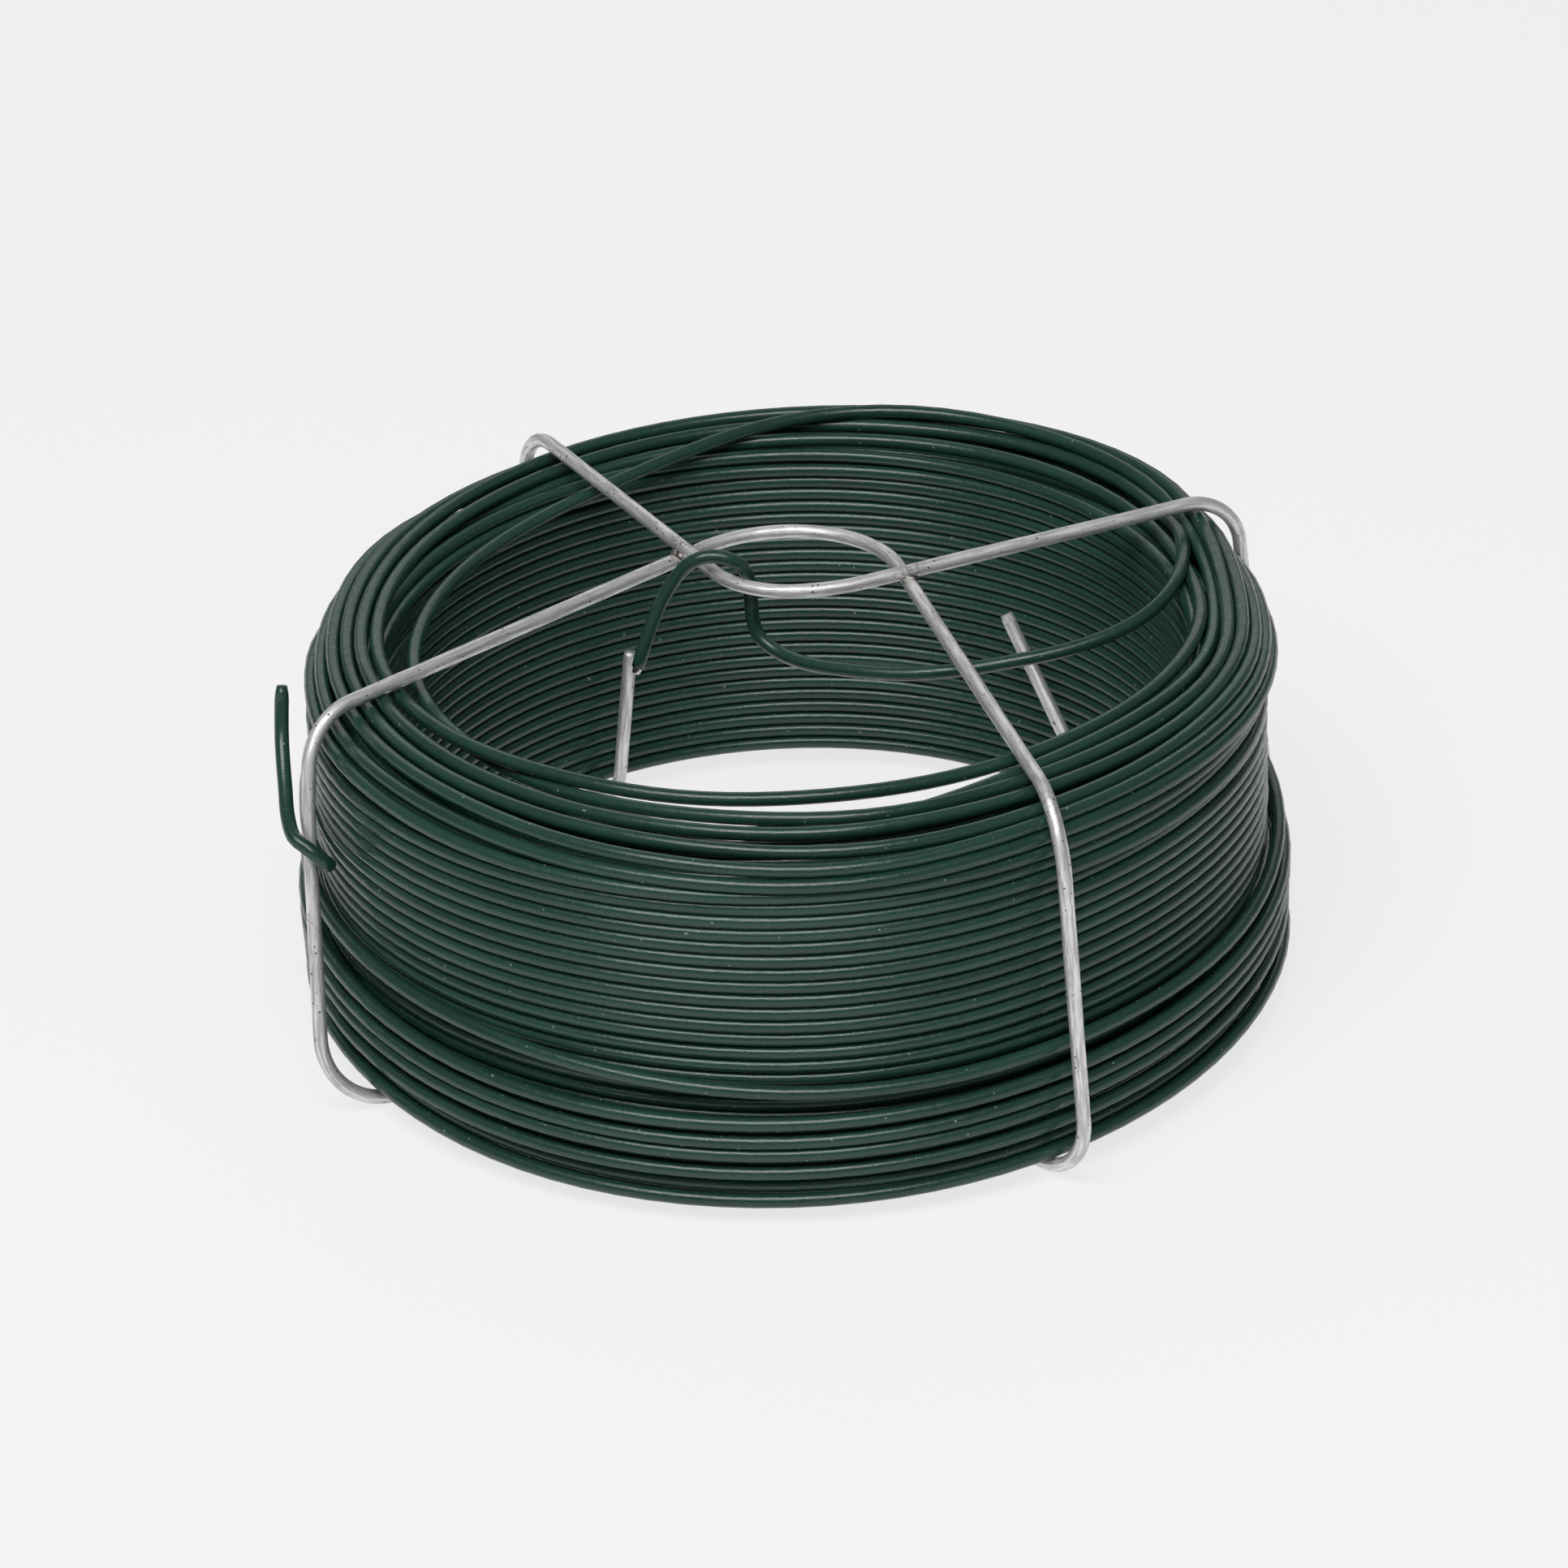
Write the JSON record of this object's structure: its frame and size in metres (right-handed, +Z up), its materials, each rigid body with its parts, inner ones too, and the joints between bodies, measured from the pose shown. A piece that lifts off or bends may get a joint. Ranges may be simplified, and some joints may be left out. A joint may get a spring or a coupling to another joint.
{
  "type": "coil of garden wire in a wire cage",
  "caption": "Coil of plastic-coated steel wire for tying and fixing, held in a cage of bent and welded galvanised wire with a hanging eye on top.",
  "frame": {"origin": "on the coil's axis, in the plane on which the cage's under-runs rest", "axes": "+Z up along the coil's axis; the two front legs of the cage are on the -Y side, and the outer end of the wire is hooked on the -X side"},
  "size_m": [0.1264, 0.125, 0.0549],
  "materials": {
    "green_coating": "dark green soft plastic coating, satin to glossy",
    "steel_core": "bare drawn steel, nipped end",
    "galvanised_wire": "galvanised, dull with drawing scratches",
    "weld_bead": "resistance weld, heat-darkened zinc"
  },
  "bodies": {
    "cage": {"back_wire": "galvanised_wire", "front_wire": "galvanised_wire", "left_weld": "weld_bead", "right_weld": "weld_bead"},
    "coil": {"winding_core": "green_coating", "winding_turns": "green_coating", "upper_loose_turn": "green_coating", "inner_end": "green_coating", "inner_end_core": "steel_core", "outer_end": "green_coating", "outer_end_core": "steel_core"}
  },
  "joints": [
    {"name": "coil_play", "type": "hinge", "parent": "cage", "child": "coil", "pos_m": [0, 0, 0], "axis": [0, 0, 1], "range_deg": [0, 2]}
  ]
}
